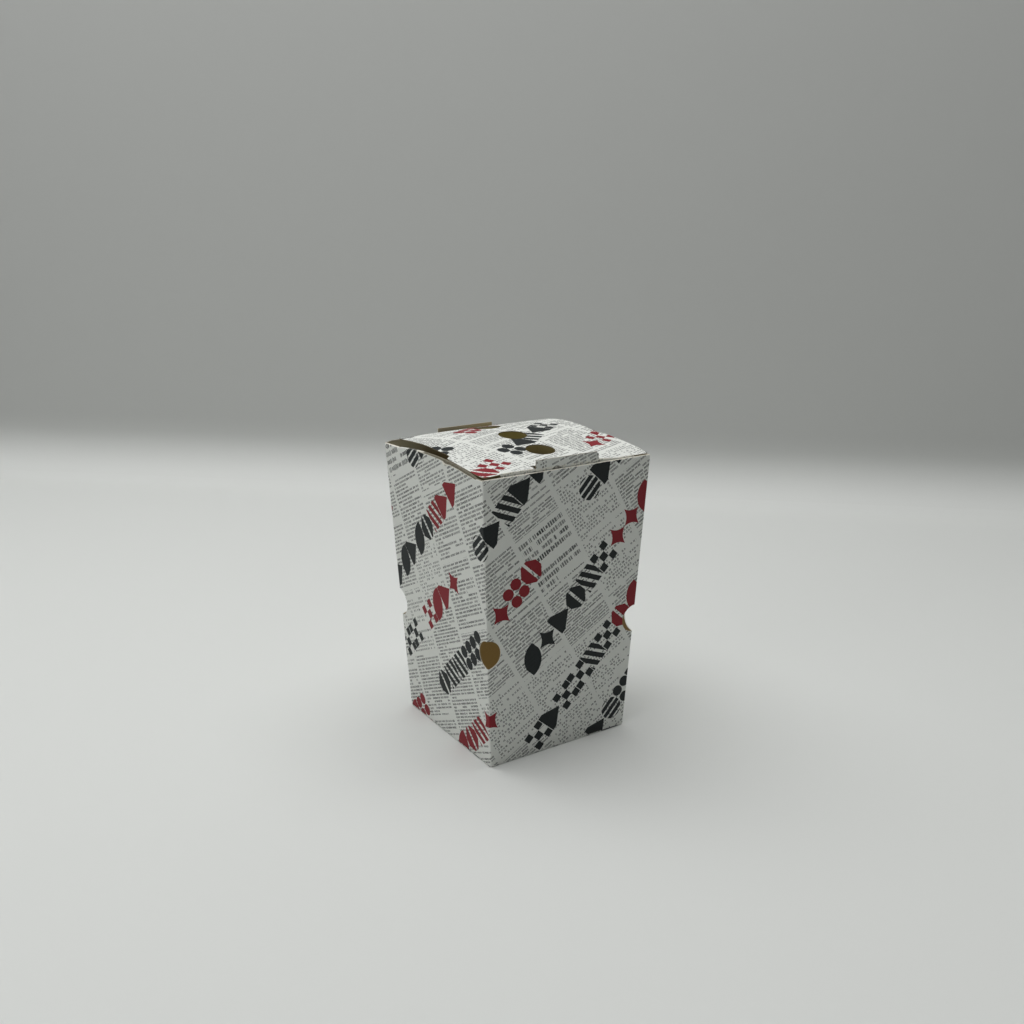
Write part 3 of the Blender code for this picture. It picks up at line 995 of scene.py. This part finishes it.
def buildTuckFlap():
    # a trapezium with round corners hangs below the fold, and the tab stands above it
    radius, length, top = tuck["cornerRadius"], tuck["length"], tuck["creaseGap"] / 2
    straight = np.linspace(top, length - radius, 12)
    curve = length - radius * (1 - np.sin(np.linspace(0, np.pi / 2, 10)))
    down = np.unique(np.concatenate([straight, curve]).round(7))
    half = tuck["topHalf"] + (tuck["endHalf"] - tuck["topHalf"]) * down / length
    half = half - roundedOff(np.clip(down - (length - radius), 0, radius), radius)
    tabLeft, tabRight = tuck["tabX"]
    leftShare, rightShare = tabLeft / tuck["topHalf"], tabRight / tuck["topHalf"]
    shares = spread([-1, leftShare, rightShare, 1], tuck["columnStep"])
    x = (shares[None] * half[:, None])[::-1]
    deep = np.broadcast_to(down[::-1, None], x.shape)
    patches = [tuckPatch(x, deep, bead["wear"] * ease(deep, *tuck["wornDepth"]))]
    near = 1e-6
    inTab = shares[(shares > leftShare - near) & (shares < rightShare + near)]
    cutFrom = tuck["tabRise"] - tuck["tabCut"]
    rise = np.append(np.linspace(-top, cutFrom, 5), tuck["tabRise"])
    narrowed = 1 - np.clip(rise - cutFrom, 0, None) / (tabRight - tabLeft)
    x = tabLeft + (inTab[None] * tuck["topHalf"] - tabLeft) * narrowed[:, None]
    patches.append(tuckPatch(x, np.broadcast_to(-rise[:, None], x.shape)))
    boardPiece("tuckPanel", patches, "tuck_flap", "tuck_flap", brownEdge)
    print("tuck flap made")


# dust flaps

dust = dict(
    hang=np.radians(50.0),
    length=12.0 * mm,
    taper=0.5,                  # each side edge, along for a length down
    radius=0.6 * mm,            # of the crease
    endGap=0.1 * mm,            # between the flap and the free rim beside it
    # print rubbed off the crease, also a painted highlight along it
    creaseWear=0.42,
    bendX=(-0.05 * mm, 46.5 * mm))      # the bend's start from the rim, and its end


def dustFlap(name, side, node):
    # section: up the wall, round the crease and down inside to a straight edge; its root
    # follows the crowned rim
    radius, hang, length = dust["radius"], dust["hang"], dust["length"]
    turn = np.linspace(np.pi, np.pi / 2 - hang, 11)
    depth = length * np.linspace(0, 1, 17)[1:] ** 1.4
    outX = np.concatenate([radius + radius * np.cos(turn),
                           radius + radius * np.sin(hang) + depth * np.cos(hang)])
    outZ = np.concatenate([radius * np.sin(turn), radius * np.cos(hang) - depth * np.sin(hang)])
    run = np.concatenate([radius * (np.pi - turn), radius * (np.pi - turn[-1]) + depth])
    flat = np.concatenate([0 * turn, depth])[:, None]
    front = carton["crownFront"] + dust["endGap"] + dust["taper"] * flat
    back = carton["crownBack"] - dust["endGap"] - dust["taper"] * flat
    y = front + np.linspace(0, 1, 61)[None] * (back - front)
    rootZ = crownZ(y)
    x = side * (wallHalf(rootZ) - outX[:, None])
    z = rootZ + outZ[:, None] + (dustZ - rootZ) * flat / length
    points = np.stack([x, y, z], axis=-1)
    net = netPlace(side, side * y, wallUp(rootZ) + run[:, None])    # side 1 is the right panel
    onCrease = np.concatenate([1 + 0 * turn, 0 * depth])[:, None]
    wear = np.broadcast_to(dust["creaseWear"] * onCrease, y.shape)
    if side < 0:
        # the left flap also takes the wear and painted shade under the lid's edge
        wear = np.maximum(wear, creaseScuffAndShade(y, flat))
        points, net, wear = points[:, ::-1], net[:, ::-1], wear[:, ::-1]
    patches = [Patch(points, net, wear=wear)]
    return boardPiece(name, patches, None, node, brownEdge)


def buildDustFlaps():
    # each is bent from the carton's rim, where it is held, to its free part
    for name, side, node in (("leftDustPanel", -1, "left_dust_flap"),
                             ("rightDustPanel", 1, "right_dust_flap")):
        piece = dustFlap(name, side, node)
        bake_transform(piece)
    print("dust flaps made")


buildCarton()
buildLid()
buildTuckFlap()
buildBeads()
buildDustFlaps()


# studio

view = dict(
    place=(-0.2891, -0.4424, 0.2679),
    yaw=np.radians(33.03),
    pitch=np.radians(15.87),
    roll=np.radians(-0.22),
    lens=36.53)

stage = dict(
    away=0.495,             # from the box to the backdrop, straight away from the camera
    turn=np.radians(10.0),
    coveRadius=0.05,
    nearEdges=(-2.5, -0.5),     # of the floor and of its last strip before the cove
    halfWide=3,
    high=2.5,
    floorRows=6,            # rows of cells that count as floor
    paper=(0.735, 0.75, 0.728, 1),
    wall=(0.50, 0.51, 0.495, 1),
    wallZ=(0.005, 0.07),    # the paper's tone falls off between these heights
    roughness=0.7,
    specular=0.2)

light = dict(
    keyPlace=(0.0, 0.30, 1.25),
    keySize=1.6,
    keyPower=23.2,
    fillPlace=(-1.6, -0.1, 0.35),
    fillSize=0.7,
    fillPower=2.2,
    aim=(0, 0, 0.08),       # the middle of the box
    room=0.075,
    roomTone=0.33)          # of the room itself, where nothing stands before it


def viewAxes():
    # forward and right directions of the camera over the floor
    yaw = view["yaw"]
    return np.array([np.sin(yaw), np.cos(yaw), 0]), np.array([np.cos(yaw), -np.sin(yaw), 0])


def makeCamera():
    # turned by yaw, then down by pitch, then about its own line of sight by roll
    ahead, right = (Vector(axis) for axis in viewAxes())
    forward = ahead * np.cos(view["pitch"]) - Vector((0, 0, np.sin(view["pitch"])))
    up = right.cross(forward)
    roll = view["roll"]
    across = right * np.cos(roll) + up * np.sin(roll)
    upright = up * np.cos(roll) - right * np.sin(roll)
    camera = addPiece("camera", bpy.data.cameras.new("camera"))
    camera.data.lens = view["lens"]
    camera.data.clip_start = 0.01
    turn = Matrix((across, upright, -forward)).transposed().to_4x4()
    camera.matrix_world = Matrix.Translation(view["place"]) @ turn
    bpy.context.scene.camera = camera


def makeStagePaper():
    # plain paper that darkens a little where it curves up into the backdrop
    material, tree, shader = newFinish("paper", stage["roughness"], stage["specular"])
    height = objectPlace(tree).split()[2]
    height.rise(*stage["wallZ"]).mix(stage["paper"], stage["wall"]).feed(shader, "Base Color")
    return material


def makeStage():
    # floor and backdrop: one profile, level then curving up, carried sideways
    ahead, right = viewAxes()
    turn, radius = stage["turn"], stage["coveRadius"]
    outward = ahead * np.cos(turn) + right * np.sin(turn)
    sideways = right * np.cos(turn) - ahead * np.sin(turn)
    away = stage["away"] * np.cos(turn)
    bend = np.linspace(0, np.pi / 2, 13)
    run = np.concatenate([stage["nearEdges"], away - radius + radius * np.sin(bend), [away]])
    rise = np.concatenate([[0, 0], radius * (1 - np.cos(bend)), [stage["high"]]])
    wide = np.linspace(-stage["halfWide"], stage["halfWide"], 13)
    points = outward * run[:, None, None] + sideways * wide[None, :, None]
    points[..., 2] = rise[:, None]
    finish, rows = makeStagePaper(), stage["floorRows"]
    for name, part in (("floor", points[:rows + 1]), ("backdrop", points[rows:])):
        mesh = joinPatches(name, [Patch(part, part[..., :2])])
        mesh.shade_smooth()
        mesh.materials.append(finish)
        addPiece(name, mesh)


def addLamp(name):
    # square soft light, turned to the middle of the box
    lamp = bpy.data.lights.new(name, "AREA")
    lamp.shape = "SQUARE"
    lamp.size = light[name + "Size"]
    lamp.energy = light[name + "Power"]
    stand = addPiece(name, lamp)
    stand.location = light[name + "Place"]
    toBox = Vector(light["aim"]) - stand.location
    stand.rotation_euler = toBox.to_track_quat("-Z", "Y").to_euler()


def lightRoom():
    # even weak light from all round; the room looks paler than it shines
    world = bpy.data.worlds.new("room")
    world.use_nodes = True
    room = world.node_tree.nodes["Background"]
    room.inputs["Color"].default_value = (1, 1, 1, 1)
    seen = Wire(world.node_tree).node("ShaderNodeLightPath", {}, {})
    (seen * (light["roomTone"] - light["room"]) + light["room"]).feed(room, "Strength")
    bpy.context.scene.world = world


makeCamera()
makeStage()
addLamp("key")
addLamp("fill")
lightRoom()
bpy.context.scene.view_settings.view_transform = "Standard"
print("studio made")
